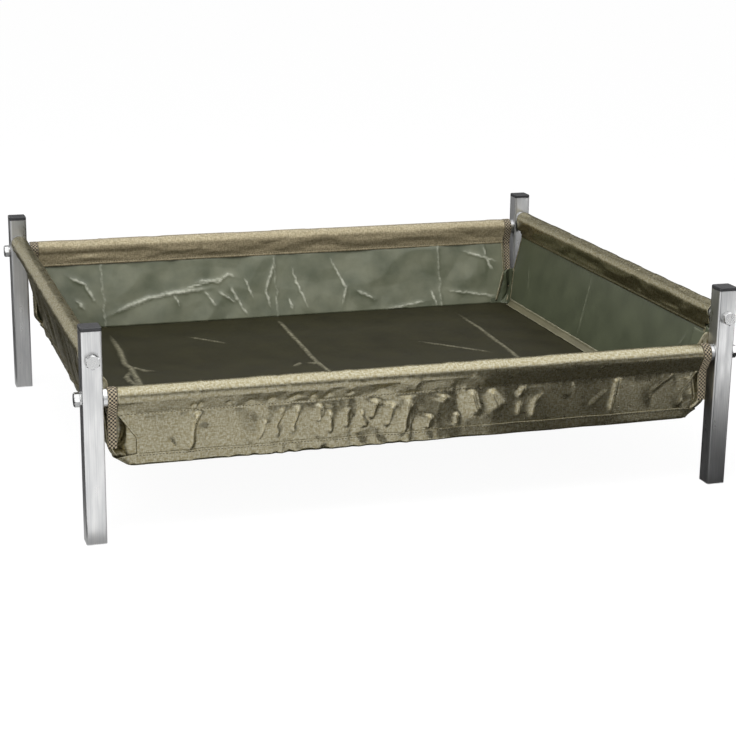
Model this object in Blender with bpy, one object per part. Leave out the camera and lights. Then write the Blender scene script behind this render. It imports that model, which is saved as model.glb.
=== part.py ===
"""Raised dog bed: square tube legs, round rails bolted between them, and a cloth tray hung on the rails.

Metres, +Z up. The origin is on the ground under the middle of the bed, +X is to the right along the low
front side where the dog steps in, and +Y is towards the back.
"""

import math

import bmesh
import bpy
from mathutils import Matrix, Vector

# Frame
FRAME_WIDTH = 0.850  # over the outside faces of the legs
FRAME_DEPTH = 0.725
FIT_GAP = 0.0003  # clearance between pieces that touch
SMOOTH_BELOW = 30  # degrees between faces that are shaded as one surface

# Legs
LEG_LENGTH = 0.263
LEG_SIDE = 0.025
LEG_WALL = 0.0015
LEG_CORNER = 0.0025  # outside radius
LEG_INNER_CORNER = 0.0010
CORNER_STEPS = 4

# Leg caps
CAP_LID = 0.0045
CAP_EDGE = 0.0008
CAP_PLUG_DEPTH = 0.012
CAP_PLUG_WALL = 0.0018
CAP_PLUG_CORNER = 0.0008

# Rails, each at its own drop below the top of the legs
RAIL_DIAMETER = 0.022
RAIL_WALL = 0.0015
SIDE_RAIL_DROP = 0.035
BACK_RAIL_DROP = 0.049
FRONT_RAIL_DROP = 0.084
RAIL_STEPS = 28

# Threaded inserts in the rail ends, and the bolts that they take
INSERT_LENGTH = 0.030
BOLT_DIAMETER = 0.010
BOLT_CLEARANCE = 0.0004
BOLT_ENGAGEMENT = 0.024
BOLT_TIP = 0.0012
HEAD_ACROSS_FLATS = 0.016
HEAD_HEIGHT = 0.0064
HEAD_CHAMFER = 0.0010
HEAD_CROWN = 0.0155  # across the round top of the head
WASHER_DIAMETER = 0.018
WASHER_THICKNESS = 0.0016
HARDWARE_STEPS = 24

# Cloth tray
CLOTH = 0.0012
FLOOR_HEIGHT = 0.0925
FLOOR_SAG = 0.006
SIDE_LEAN = 0.032  # how far a side wall comes inwards from its rail to the floor
BACK_LEAN = 0.034
STITCH_DROP = 0.023  # from a rail's centre to the stitch line that closes its sleeve
SLEEVE_HEM = 0.004  # cloth below the stitch line
SLEEVE_END_GAP = 0.006  # bare rail between a side sleeve and its leg
WEB_INSET = 0.0185  # a wall's end, in from the legs, at the stitch line
FOOT_INSET = 0.035  # the same, at the floor
WEB_KNEE = 0.5  # share of the wall's height over which its end slants
HEM_HEIGHT = 0.013  # floor cloth turned up outside the walls
GUSSET_TOP_GAP = 0.003  # from the front sleeve's hem down to the corner pieces' top edges
GUSSET_LAP = 0.047  # how far in from the legs a corner piece reaches along each wall
GUSSET_BREAK = 0.026  # where it leaves the wall's line for the leg, in from the legs
GUSSET_FOOT_BREAK = 0.032  # the same, where it stands on the floor
GUSSET_RISE = 0.019  # height over which it spreads from the floor to its full turn
GUSSET_TURN = 0.006
STRAP_WIDTH = 0.011  # webbing looped round the front and back rails beside the legs
STRAP_LEG_GAP = 0.0055
STRAP_FOOT = 0.022  # height of its lower end above the walls' feet
SLEEVE_STEPS = 14
FLOOR_STATIONS = (9, 8)

LEFT, RIGHT, FRONT, BACK = -1, 1, -1, 1
SIDE_NAMES = {LEFT: "left", RIGHT: "right"}
DEPTH_NAMES = {FRONT: "front", BACK: "back"}

# Places worked out from the sizes above
AXIS_X = FRAME_WIDTH / 2 - LEG_SIDE / 2
AXIS_Y = FRAME_DEPTH / 2 - LEG_SIDE / 2
SIDE_RAIL_Z = LEG_LENGTH - SIDE_RAIL_DROP
BACK_RAIL_Z = LEG_LENGTH - BACK_RAIL_DROP
FRONT_RAIL_Z = LEG_LENGTH - FRONT_RAIL_DROP
CROSS_RAIL_Z = {FRONT: FRONT_RAIL_Z, BACK: BACK_RAIL_Z}
# How far the corner pieces' top edges climb from the front rail's sleeve to the side rail's, point by point
GUSSET_CLIMB = {FRONT: (0, 0, 0.56, 0.68, 0.8, 1, 1), BACK: (0, 0, 0, 0, 0, 0, 0)}
LEG_INNER_X = FRAME_WIDTH / 2 - LEG_SIDE
LEG_INNER_Y = FRAME_DEPTH / 2 - LEG_SIDE
STRAP_X = LEG_INNER_X - STRAP_LEG_GAP - STRAP_WIDTH / 2
CROSS_SLEEVE_END = STRAP_X - STRAP_WIDTH / 2 - FIT_GAP
SIDE_SLEEVE_END = LEG_INNER_Y - SLEEVE_END_GAP
CORNER_TURN_X = LEG_INNER_X - SLEEVE_END_GAP - CLOTH
CORNER_TURN_Y = LEG_INNER_Y - SLEEVE_END_GAP
BOLT_HOLE_RADIUS = BOLT_DIAMETER / 2 + BOLT_CLEARANCE
HEAD_SEAT = LEG_SIDE / 2 + FIT_GAP + WASHER_THICKNESS + FIT_GAP
WALL_FOOT_Z = FLOOR_HEIGHT + CLOTH / 2 + FIT_GAP

# Turns that lay +Z along another axis
ALONG_X = Matrix.Rotation(math.pi / 2, 4, "Y")
ALONG_Y = Matrix.Rotation(-math.pi / 2, 4, "X")


def clear_scene():
    for thing in list(bpy.data.objects):
        bpy.data.objects.remove(thing, do_unlink=True)


def linear(channel):
    return channel / 12.92 if channel <= 0.04045 else ((channel + 0.055) / 1.055) ** 2.4


def make_material(name, color, roughness, metallic):
    """A plain surface from an sRGB colour written as three numbers from 0 to 255."""
    material = bpy.data.materials.new(name)
    material.use_nodes = True
    shader = material.node_tree.nodes["Principled BSDF"]
    shader.inputs["Base Color"].default_value = [linear(c / 255) for c in color] + [1.0]
    shader.inputs["Roughness"].default_value = roughness
    shader.inputs["Metallic"].default_value = metallic
    return material


def place(name, mesh, material, matrix=None):
    """Adds one piece to the scene."""
    piece = bpy.data.objects.new(name, mesh)
    if material and not mesh.materials:
        mesh.materials.append(material)
    if matrix is not None:
        piece.matrix_world = matrix
    bpy.context.scene.collection.objects.link(piece)
    return piece


def mesh_from(bm, name):
    """Turns a bmesh into a mesh with outward faces, smooth across gentle edges."""
    bmesh.ops.recalc_face_normals(bm, faces=bm.faces)
    mesh = bpy.data.meshes.new(name)
    bm.to_mesh(mesh)
    bm.free()
    mesh.shade_smooth()
    mesh.set_sharp_from_angle(angle=math.radians(SMOOTH_BELOW))
    return mesh


def grow_ring(bm, ring, outline, height):
    """Extrudes a closed ring of vertices and moves the new ring to another outline and height."""
    edges = [bm.edges.get(pair) for pair in zip(ring, ring[1:] + ring[:1])]
    extruded = set(bmesh.ops.extrude_edge_only(bm, edges=edges)["geom"])
    grown = []
    for vert, (x, y) in zip(ring, outline):
        partner = next(e.other_vert(vert) for e in vert.link_edges if e.other_vert(vert) in extruded)
        partner.co = (x, y, height)
        grown.append(partner)
    return grown


def loft(rings, name, closed_ends=True):
    """A solid through rings of equal point count; without closed ends the last ring meets the first."""
    bm = bmesh.new()
    outline, height = rings[0]
    ring = [bm.verts.new((x, y, height)) for x, y in outline]
    first_edges = [bm.edges.new(pair) for pair in zip(ring, ring[1:] + ring[:1])]
    for outline, height in rings[1:] if closed_ends else rings[1:] + rings[:1]:
        ring = grow_ring(bm, ring, outline, height)
    if closed_ends:
        last_edges = [bm.edges.get(pair) for pair in zip(ring, ring[1:] + ring[:1])]
        bmesh.ops.contextual_create(bm, geom=first_edges)
        bmesh.ops.contextual_create(bm, geom=last_edges)
    else:
        bmesh.ops.remove_doubles(bm, verts=bm.verts, dist=FIT_GAP / 100)
    return mesh_from(bm, name)


def circle(radius, steps):
    return [(radius * math.cos(2 * math.pi * i / steps), radius * math.sin(2 * math.pi * i / steps))
            for i in range(steps)]


def rounded_square(side, corner):
    """Outline of a square tube wall, with each corner as an arc."""
    points = []
    middle = side / 2 - corner
    for quarter in range(4):
        start = quarter * math.pi / 2
        centre_x = middle * (1 if quarter in (0, 3) else -1)
        centre_y = middle * (1 if quarter in (0, 1) else -1)
        for step in range(CORNER_STEPS + 1):
            angle = start + step / CORNER_STEPS * math.pi / 2
            points.append((centre_x + corner * math.cos(angle), centre_y + corner * math.sin(angle)))
    return points


def hexagon(across_flats, steps, limit):
    """Outline of a hex head, cut back to a circle where its chamfer reaches the corners."""
    points = []
    for i in range(steps):
        angle = 2 * math.pi * i / steps
        from_flat = (angle + math.pi / 6) % (math.pi / 3) - math.pi / 6
        radius = min(across_flats / 2 / math.cos(from_flat), limit)
        points.append((radius * math.cos(angle), radius * math.sin(angle)))
    return points


def tube_mesh(outer, inner, length, name):
    """A straight tube of any outline along +Z, from 0 to its length."""
    return loft([(outer, 0), (outer, length), (inner, length), (inner, 0)], name, closed_ends=False)


def leg_centre(side, depth):
    return Vector((side * AXIS_X, depth * AXIS_Y, 0))


def leg_name(side, depth):
    return f"{DEPTH_NAMES[depth]}_{SIDE_NAMES[side]}"


def bolt_hole_cutter(name, matrix, outer_reach):
    """A round cutter through both walls of a leg."""
    hole = circle(BOLT_HOLE_RADIUS, HARDWARE_STEPS)
    cutter = place(name, loft([(hole, -outer_reach), (hole, outer_reach)], name), None, matrix)
    cutter.hide_render = True
    cutter.display_type = "WIRE"
    return cutter


def build_legs(steel):
    outer = rounded_square(LEG_SIDE, LEG_CORNER)
    inner = rounded_square(LEG_SIDE - 2 * LEG_WALL, LEG_INNER_CORNER)
    for side in (LEFT, RIGHT):
        for depth in (FRONT, BACK):
            base = leg_centre(side, depth)
            name = leg_name(side, depth)
            leg = place("leg_" + name, tube_mesh(outer, inner, LEG_LENGTH, "leg_" + name), steel,
                        Matrix.Translation(base))
            crossings = {
                "cross": Matrix.Translation(base + Vector((0, 0, CROSS_RAIL_Z[depth]))) @ ALONG_X,
                "side": Matrix.Translation(base + Vector((0, 0, SIDE_RAIL_Z))) @ ALONG_Y,
            }
            for way, matrix in crossings.items():
                cut = leg.modifiers.new(way + "_bolt_hole", "BOOLEAN")
                cut.operation = "DIFFERENCE"
                cut.solver = "EXACT"
                cut.object = bolt_hole_cutter(f"cutter_{name}_{way}", matrix, LEG_SIDE)


def build_caps(plastic):
    """Push-in caps: a lid as wide as the leg over a hollow square plug."""
    plug_side = LEG_SIDE - 2 * LEG_WALL - 2 * FIT_GAP
    lid = rounded_square(LEG_SIDE, LEG_CORNER)
    lid_top = rounded_square(LEG_SIDE - 2 * CAP_EDGE, LEG_CORNER - CAP_EDGE / 2)
    plug = rounded_square(plug_side, CAP_PLUG_CORNER)
    core = rounded_square(plug_side - 2 * CAP_PLUG_WALL, CAP_PLUG_CORNER)
    mesh = loft([
        (core, 0),
        (core, -CAP_PLUG_DEPTH),
        (plug, -CAP_PLUG_DEPTH),
        (plug, 0),
        (lid, 0),
        (lid, CAP_LID - CAP_EDGE),
        (lid_top, CAP_LID),
    ], "leg_cap")
    for side in (LEFT, RIGHT):
        for depth in (FRONT, BACK):
            seat = leg_centre(side, depth) + Vector((0, 0, LEG_LENGTH + FIT_GAP))
            place("cap_" + leg_name(side, depth), mesh, plastic, Matrix.Translation(seat))


def rail_runs():
    """Each rail's name, the matrix that lays +Z along it from its first end, and its length."""
    cross_length = FRAME_WIDTH - 2 * LEG_SIDE - 2 * FIT_GAP
    side_length = FRAME_DEPTH - 2 * LEG_SIDE - 2 * FIT_GAP
    runs = []
    for depth in (FRONT, BACK):
        start = Vector((-cross_length / 2, depth * AXIS_Y, CROSS_RAIL_Z[depth]))
        runs.append((DEPTH_NAMES[depth], Matrix.Translation(start) @ ALONG_X, cross_length))
    for side in (LEFT, RIGHT):
        start = Vector((side * AXIS_X, -side_length / 2, SIDE_RAIL_Z))
        runs.append((SIDE_NAMES[side], Matrix.Translation(start) @ ALONG_Y, side_length))
    return runs


def build_rails(steel):
    outer = circle(RAIL_DIAMETER / 2, RAIL_STEPS)
    inner = circle(RAIL_DIAMETER / 2 - RAIL_WALL, RAIL_STEPS)
    for name, matrix, length in rail_runs():
        place("rail_" + name, tube_mesh(outer, inner, length, "rail_" + name), steel, matrix)


def bolt_mesh():
    """A hex bolt along -Z, its head's underside at the origin."""
    steps = HARDWARE_STEPS
    shank = circle(BOLT_DIAMETER / 2, steps)
    tip = circle(BOLT_DIAMETER / 2 - BOLT_TIP, steps)
    corner_radius = HEAD_ACROSS_FLATS / math.sqrt(3)
    flat = hexagon(HEAD_ACROSS_FLATS, steps, corner_radius)
    crown = hexagon(HEAD_ACROSS_FLATS, steps, HEAD_CROWN / 2)
    reach = HEAD_SEAT + LEG_SIDE / 2 + FIT_GAP + BOLT_ENGAGEMENT
    return loft([
        (tip, -reach),
        (shank, -reach + BOLT_TIP),
        (shank, 0),
        (flat, 0),
        (flat, HEAD_HEIGHT - HEAD_CHAMFER),
        (crown, HEAD_HEIGHT),
    ], "hex_bolt")


def washer_mesh():
    """A flat washer from the origin down along -Z."""
    outer = circle(WASHER_DIAMETER / 2, HARDWARE_STEPS)
    inner = circle(BOLT_HOLE_RADIUS, HARDWARE_STEPS)
    bottom = -WASHER_THICKNESS
    rings = [(outer, bottom), (outer, 0), (inner, 0), (inner, bottom)]
    return loft(rings, "flat_washer", closed_ends=False)


def insert_mesh():
    """A threaded sleeve that fills a rail's end, its bolt hole running right through."""
    outer = circle(RAIL_DIAMETER / 2 - RAIL_WALL - FIT_GAP, HARDWARE_STEPS)
    inner = circle(BOLT_HOLE_RADIUS, HARDWARE_STEPS)
    return tube_mesh(outer, inner, INSERT_LENGTH, "threaded_insert")


def build_joints(steel, plated):
    """The insert, washer and bolt at both ends of every rail, all on the rail's own axis."""
    insert, washer, bolt = insert_mesh(), washer_mesh(), bolt_mesh()
    leg_to_end = LEG_SIDE / 2 + FIT_GAP
    for name, matrix, length in rail_runs():
        end_names = ("left", "right") if name in DEPTH_NAMES.values() else ("front", "back")
        flip = Matrix.Translation((0, 0, length)) @ Matrix.Rotation(math.pi, 4, "X")
        for end, inwards in zip(end_names, (matrix, matrix @ flip)):
            label = f"{name}_rail_{end}"
            outwards = inwards @ Matrix.Rotation(math.pi, 4, "X")
            place("insert_" + label, insert, steel, inwards)
            seat = Matrix.Translation((0, 0, leg_to_end + HEAD_SEAT))
            place("bolt_" + label, bolt, plated, outwards @ seat)
            washer_seat = Matrix.Translation((0, 0, leg_to_end + HEAD_SEAT - FIT_GAP))
            place("washer_" + label, washer, plated, outwards @ washer_seat)


def wall_profile(drop, lean):
    """Centre line of a wall's cloth as (outwards, up) from the rail's centre, from its foot up and over.

    The cloth rises in a straight web, wraps the rail and comes back down inside as far as the sleeve's hem.
    """
    down = Vector((-lean, -drop)).normalized()
    inwards = Vector((down.y, -down.x))
    radius = RAIL_DIAMETER / 2 + FIT_GAP + CLOTH / 2
    lap = CLOTH + FIT_GAP
    sweep_start = -math.acos(radius / STITCH_DROP)
    lap_angle = math.atan2(lap, STITCH_DROP) + math.acos(radius / math.hypot(STITCH_DROP, lap))
    sweep = lap_angle - 2 * math.pi - sweep_start
    points = [down * math.hypot(drop, lean), down * STITCH_DROP]
    for step in range(SLEEVE_STEPS + 1):
        angle = sweep_start + sweep * step / SLEEVE_STEPS
        points.append((down * math.cos(angle) + inwards * math.sin(angle)) * radius)
    points.append(down * STITCH_DROP + inwards * lap)
    points.append(down * (STITCH_DROP + SLEEVE_HEM) + inwards * lap)
    return points


def sheet(rows):
    """An open sheet of cloth: each row is a line of points, and neighbouring rows are joined."""
    bm = bmesh.new()
    previous = None
    for row in rows:
        verts = [bm.verts.new(point) for point in row]
        edges = [bm.edges.new(pair) for pair in zip(verts, verts[1:])]
        if previous:
            bmesh.ops.bridge_loops(bm, edges=previous + edges)
        previous = edges
    return bm


def place_cloth(name, bm, material, matrix=None):
    """Adds a sheet and gives it the cloth's thickness, half to each side."""
    piece = place(name, mesh_from(bm, name), material, matrix)
    solid = piece.modifiers.new("cloth_thickness", "SOLIDIFY")
    solid.thickness = CLOTH
    solid.offset = 0
    solid.use_even_offset = True
    return piece


def strip_rows(levels):
    """Rows of (outwards, along, up) points from (profile point, half length) pairs."""
    return [[(out, end * half, up) for end in (-1, 1)] for (out, up), half in levels]


def wall_rows(drop, lean, sleeve_end, leg_face):
    """A wall's rows: as long as its sleeve round the rail, and cut back from the legs below it."""
    profile = wall_profile(drop, lean)
    foot, stitch = profile[0], profile[1]
    levels = [
        (foot, leg_face - FOOT_INSET),
        (stitch.lerp(foot, WEB_KNEE), leg_face - FOOT_INSET),
        (stitch, leg_face - WEB_INSET),
    ]
    levels += [(point, sleeve_end) for point in profile[2:-2]]
    levels += [(point, leg_face - WEB_INSET) for point in profile[-2:]]
    return strip_rows(levels)


def build_walls(cloth):
    cross = (CROSS_SLEEVE_END, LEG_INNER_X)
    side = (SIDE_SLEEVE_END, LEG_INNER_Y)
    walls = [
        ("front", FRONT_RAIL_Z, 0.0, cross, (0, -AXIS_Y), -90),
        ("back", BACK_RAIL_Z, BACK_LEAN, cross, (0, AXIS_Y), 90),
        ("left", SIDE_RAIL_Z, SIDE_LEAN, side, (-AXIS_X, 0), 180),
        ("right", SIDE_RAIL_Z, SIDE_LEAN, side, (AXIS_X, 0), 0),
    ]
    for name, rail_z, lean, ends, (x, y), turn in walls:
        rows = wall_rows(rail_z - WALL_FOOT_Z, lean, *ends)
        matrix = Matrix.Translation((x, y, rail_z)) @ Matrix.Rotation(math.radians(turn), 4, "Z")
        place_cloth("wall_" + name, sheet(rows), cloth, matrix)


def wall_slope(lean, rail_z):
    """How far a wall comes outwards for each unit of height."""
    return lean / (rail_z - WALL_FOOT_Z)


def stations(low, high, count):
    return [low + (high - low) * i / (count - 1) for i in range(count)]


def build_floor(cloth):
    """The floor cloth: a slightly sagging sheet whose edges turn up outside the walls as a hem."""
    outside = CLOTH + FIT_GAP
    edge_x = AXIS_X - SIDE_LEAN + outside
    front_y = -AXIS_Y - outside
    back_y = AXIS_Y - BACK_LEAN + outside
    hem_x, hem_y = LEG_INNER_X - GUSSET_LAP, LEG_INNER_Y - GUSSET_LAP
    across, deep = FLOOR_STATIONS
    xs = [-edge_x] + stations(-hem_x, hem_x, across) + [edge_x]
    ys = [front_y] + stations(-hem_y, hem_y, deep) + [back_y]
    middle_y = (front_y + back_y) / 2
    half_y = (back_y - front_y) / 2

    def sag(x, y):
        return FLOOR_SAG * math.cos(x / edge_x * math.pi / 2) * math.cos((y - middle_y) / half_y * math.pi / 2)

    bm = sheet([[(x, y, FLOOR_HEIGHT - sag(x, y)) for x in xs] for y in ys])
    side_slope = wall_slope(SIDE_LEAN, SIDE_RAIL_Z)
    back_slope = wall_slope(BACK_LEAN, BACK_RAIL_Z)
    turn_up_hem(bm, 0, xs[0], ys, (-side_slope, 0, 1))
    turn_up_hem(bm, 0, xs[-1], ys, (side_slope, 0, 1))
    turn_up_hem(bm, 1, ys[0], xs, (0, 0, 1))
    turn_up_hem(bm, 1, ys[-1], xs, (0, back_slope, 1))
    for side in (LEFT, RIGHT):
        for depth in (FRONT, BACK):
            cut_corner(bm, side, depth)
    place_cloth("floor", bm, cloth)


def cut_corner(bm, side, depth):
    """Cuts a corner off the floor along the foot of the corner piece, which spreads outwards from there."""
    _, start, *_, end, _ = [Vector((side * x, depth * y, 0)) for x, y in gusset_foot(depth)]
    outwards = (end - start).cross(Vector((0, 0, 1))).normalized()
    if outwards.x * side < 0:
        outwards = -outwards
    bmesh.ops.bisect_plane(
        bm,
        geom=bm.verts[:] + bm.edges[:] + bm.faces[:],
        plane_co=start,
        plane_no=outwards,
        clear_outer=True,
    )


def turn_up_hem(bm, axis, edge_place, other_stations, rise):
    """Extrudes one border of the floor up beside its wall, between the corner cells."""
    tolerance = FIT_GAP / 10
    low, high = other_stations[1] - tolerance, other_stations[-2] + tolerance

    def on_border(vert):
        return abs(vert.co[axis] - edge_place) < tolerance and low < vert.co[1 - axis] < high

    stretch = [edge for edge in bm.edges if edge.is_boundary and all(on_border(v) for v in edge.verts)]
    result = bmesh.ops.extrude_edge_only(bm, edges=stretch)
    raised = [item for item in result["geom"] if isinstance(item, bmesh.types.BMVert)]
    bmesh.ops.translate(bm, verts=raised, vec=Vector(rise) * HEM_HEIGHT)


def inside_wall(axis_place, lean, rail_z, height):
    """How far out a cloth can lie against the inner face of a wall at one height."""
    return axis_place - (rail_z - height) * wall_slope(lean, rail_z) - CLOTH - FIT_GAP


def gusset_plan(depth, height, tucked=False):
    """Plan points of a corner piece at one height, from the cross wall round by the leg to the side wall.

    Where it is tucked in, its turn clears the cross rail and the strap on it.
    """
    lean = {FRONT: 0.0, BACK: BACK_LEAN}[depth]
    soft = GUSSET_TURN * (1 - math.sqrt(0.5))
    side_x = inside_wall(AXIS_X, SIDE_LEAN, SIDE_RAIL_Z, height)
    cross_y = inside_wall(AXIS_Y, lean, CROSS_RAIL_Z[depth], height)
    turn_x = max(CORNER_TURN_X, side_x)
    turn_y = CORNER_TURN_Y if tucked else max(CORNER_TURN_Y, cross_y)
    return [
        (LEG_INNER_X - GUSSET_LAP, cross_y),
        (LEG_INNER_X - GUSSET_BREAK, cross_y),
        (STRAP_X - STRAP_WIDTH / 2 - CLOTH, turn_y),
        (turn_x - soft, turn_y - soft),
        (turn_x, turn_y - GUSSET_TURN),
        (side_x, LEG_INNER_Y - (WEB_INSET if tucked else GUSSET_BREAK)),
        (side_x, LEG_INNER_Y - GUSSET_LAP),
    ]


def gusset_foot(depth):
    """Plan points of a corner piece where it stands on the floor: the turn is cut straight across."""
    lapped, *turn, last = gusset_plan(depth, WALL_FOOT_Z)
    start = Vector((LEG_INNER_X - GUSSET_FOOT_BREAK, lapped[1]))
    end = Vector((last[0], LEG_INNER_Y - GUSSET_FOOT_BREAK))
    cut = [start.lerp(end, i / (len(turn) - 1)) for i in range(len(turn))]
    return [lapped] + [tuple(point) for point in cut] + [last]


def gusset_row(depth, heights, tucked=False):
    """A row of a corner piece's points above its foot, each at its own height."""
    return [(*gusset_plan(depth, height, tucked)[i], height) for i, height in enumerate(heights)]


def build_gussets(cloth):
    """Corner pieces that close the lower part of each slit between two walls."""
    below_rail = STITCH_DROP + SLEEVE_HEM + GUSSET_TOP_GAP
    front_top, side_top = FRONT_RAIL_Z - below_rail, SIDE_RAIL_Z - below_rail
    for side in (LEFT, RIGHT):
        for depth in (FRONT, BACK):
            foot = [(x, y, WALL_FOOT_Z + CLOTH / 2) for x, y in gusset_foot(depth)]
            turned = gusset_row(depth, [WALL_FOOT_Z + GUSSET_RISE] * len(foot))
            heights = [front_top + (side_top - front_top) * climb for climb in GUSSET_CLIMB[depth]]
            top = gusset_row(depth, heights, tucked=True)
            rows = [[(side * x, depth * y, z) for x, y, z in row] for row in (foot, turned, top)]
            place_cloth("gusset_" + leg_name(side, depth), sheet(rows), cloth)


def build_straps(webbing):
    """Webbing loops that hang the corner pieces on the front and back rails, closed like the sleeves."""
    foot_z = WALL_FOOT_Z + STRAP_FOOT
    for depth, turn in ((FRONT, -90), (BACK, 90)):
        rail_z = CROSS_RAIL_Z[depth]
        corner_y = max(y for _, y in gusset_plan(depth, foot_z))
        profile = wall_profile(rail_z - foot_z, AXIS_Y - corner_y - CLOTH - FIT_GAP)
        rows = strip_rows([(point, STRAP_WIDTH / 2) for point in profile])
        for side in (LEFT, RIGHT):
            spot = Matrix.Translation((side * STRAP_X, depth * AXIS_Y, rail_z))
            matrix = spot @ Matrix.Rotation(math.radians(turn), 4, "Z")
            place_cloth("strap_" + leg_name(side, depth), sheet(rows), webbing, matrix)


def main():
    clear_scene()
    steel = make_material("zinc_plated_tube", (178, 180, 180), 0.35, 1.0)
    plated = make_material("zinc_plated_fastener", (200, 200, 202), 0.3, 1.0)
    plastic = make_material("black_cap_plastic", (45, 45, 46), 0.5, 0.0)
    cloth = make_material("coated_olive_cloth", (84, 82, 62), 0.6, 0.0)
    webbing = make_material("olive_webbing", (104, 96, 74), 0.8, 0.0)
    build_legs(steel)
    build_caps(plastic)
    build_rails(steel)
    build_joints(steel, plated)
    build_walls(cloth)
    build_floor(cloth)
    build_gussets(cloth)
    build_straps(webbing)


main()
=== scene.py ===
"""Raised dog bed: its metal and plastic finishes, the hung cloth tray with seams and creases, and the studio.

Metres, +Z up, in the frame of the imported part: +X to the right along the low front side, +Y to the back.
"""

import math

import bmesh
import bpy
import numpy as np
from mathutils import Matrix, Vector


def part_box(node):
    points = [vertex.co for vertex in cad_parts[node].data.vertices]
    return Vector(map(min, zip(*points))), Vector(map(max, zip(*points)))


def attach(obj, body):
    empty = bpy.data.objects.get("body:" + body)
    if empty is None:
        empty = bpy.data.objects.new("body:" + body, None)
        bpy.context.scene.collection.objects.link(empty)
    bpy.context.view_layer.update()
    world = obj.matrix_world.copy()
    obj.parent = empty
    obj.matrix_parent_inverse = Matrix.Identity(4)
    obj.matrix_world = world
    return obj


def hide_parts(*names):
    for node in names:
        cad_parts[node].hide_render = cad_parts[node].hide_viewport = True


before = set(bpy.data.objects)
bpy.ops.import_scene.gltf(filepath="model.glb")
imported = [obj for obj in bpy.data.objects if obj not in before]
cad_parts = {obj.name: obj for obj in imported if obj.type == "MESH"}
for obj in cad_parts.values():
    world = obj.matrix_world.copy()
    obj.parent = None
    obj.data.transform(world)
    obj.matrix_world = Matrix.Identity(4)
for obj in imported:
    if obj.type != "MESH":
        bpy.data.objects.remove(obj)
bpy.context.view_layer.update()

MM = 0.001
LEFT, RIGHT, FRONT, BACK = -1, 1, -1, 1
SIDES = {"left": LEFT, "right": RIGHT}
DEPTHS = {"front": FRONT, "back": BACK}

# Camera, fitted to the corners of the four legs
CAMERA_PLACE = (-0.7135, -2.3578, 0.7803)
CAMERA_YAW = -17.725  # degrees from +Y, anticlockwise
CAMERA_PITCH = 15.598  # degrees below the horizon
CAMERA_ROLL = 0.743
CAMERA_LENS = 87.07  # mm on a 36 mm sensor

# Studio
AMBIENT = 0.5
FLOOR_SIZE = 60.0
FLOOR_GLOW = 0.9  # share of the floor's white that no shadow darkens
DARK = 0.035  # brightness of the cards that darken reflections

# Cloth tray
CLOTH = 0.0007
SOLID_CLOTH = 0.0012  # thickness of the solids that the cloth replaces
SLEEVE_RADIUS = 0.0119  # middle of the cloth round a rail
STITCH_DROP = 0.023  # from a rail's centre down to the stitch line of its sleeve
SLEEVE_HEM = 0.004
WEB_INSET = 0.0185  # a wall's end, in from the legs, at the stitch line
FOOT_INSET = 0.035  # the same, at the floor
CORNER_LAP = 0.047  # how far in from the legs a corner piece reaches along each wall
CORNER_BREAK = 0.026  # where it leaves the wall's line at its full turn, in from the legs
CORNER_BEND = 0.0177  # where it has come out to the leg
CORNER_FOOT_BREAK = 0.032  # where it leaves the wall's line on the floor
CORNER_RISE = 0.019  # height over which it spreads from the floor to its full turn
CORNER_WIDTH = 0.11  # for its weave only
CORNER_HEIGHT = 0.07
HEM_HEIGHT = 0.013
TAPE_WIDTH = 13 * MM
BINDING_WIDTH = 0.010
STRAP_FOOT = 0.022  # height of a strap's lower end above the walls' feet
STITCH_PITCH = 0.004
WEAVE_PITCH = 1.9  # mm, as drawn
WEBBING_PITCH = 2.4  # mm, as drawn
FRONT_CELL = 0.0019  # grid spacing of the front wall, where most creases are
WALL_CELL = 0.0022
FLOOR_CELL = 0.0036

# The right-hand and rear legs' faces towards the middle, and the height of the tray's foot
LEG_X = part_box("leg_front_right")[0].x
LEG_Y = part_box("leg_back_right")[0].y
WALL_FOOT_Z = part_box("wall_front")[0].z

# Folds left by the packing run right across the tray at these places
FOLDS_X = (-0.288, -0.011, 0.266)
FOLD_Y = 0.036

# Top edge of a right-hand front corner piece behind the front rail, where it climbs to the side rail's sleeve
FRONT_CORNER_CLIMB = [(0.389, 0.334, 0.190), (0.396, 0.3345, 0.201), (0.4045, 0.3325, 0.2035),
                      (0.4065, 0.3275, 0.2045), (0.4063, 0.3205, 0.2075)]
FRONT_CORNER_FLAP = 0.318  # where it meets that sleeve's lower flap
REAR_CORNER_RISE = (-22, -10, 0, 2, 3, 4, 5, 4, -4, -20)  # mm, along the top edge of a rear corner piece

# The hem's way round the tray: each wall, the direction along it, and the corner after it
HEM_ROUND = [("front", (1, 0, 0), RIGHT, FRONT), ("right", (0, 1, 0), RIGHT, BACK),
             ("back", (-1, 0, 0), LEFT, BACK), ("left", (0, -1, 0), LEFT, FRONT)]


def hex_colour(text):
    """An sRGB hex value as linear red, green, blue and alpha."""
    channels = [int(text[i:i + 2], 16) / 255 for i in (1, 3, 5)]
    return [c / 12.92 if c <= 0.04045 else ((c + 0.055) / 1.055) ** 2.4 for c in channels] + [1.0]


def node(tree, kind, inputs=None, **settings):
    """Adds a shader node. An input that is a socket is linked, and any other is a value."""
    made = tree.nodes.new(kind)
    for key, value in settings.items():
        setattr(made, key, value)
    for key, value in (inputs or {}).items():
        if isinstance(value, bpy.types.NodeSocket):
            tree.links.new(value, made.inputs[key])
        else:
            made.inputs[key].default_value = value
    return made


def new_material(name, on_cloth=False, **values):
    """A material with one Principled shader, and the place that its patterns lie on."""
    material = bpy.data.materials.new(name)
    material.use_nodes = True
    tree = material.node_tree
    shader = tree.nodes["Principled BSDF"]
    for key, value in values.items():
        shader.inputs[key].default_value = value
    if on_cloth:
        place = node(tree, "ShaderNodeUVMap", uv_map="cloth").outputs[0]
    else:
        place = node(tree, "ShaderNodeTexCoord").outputs["Object"]
    return material, shader, place


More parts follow.
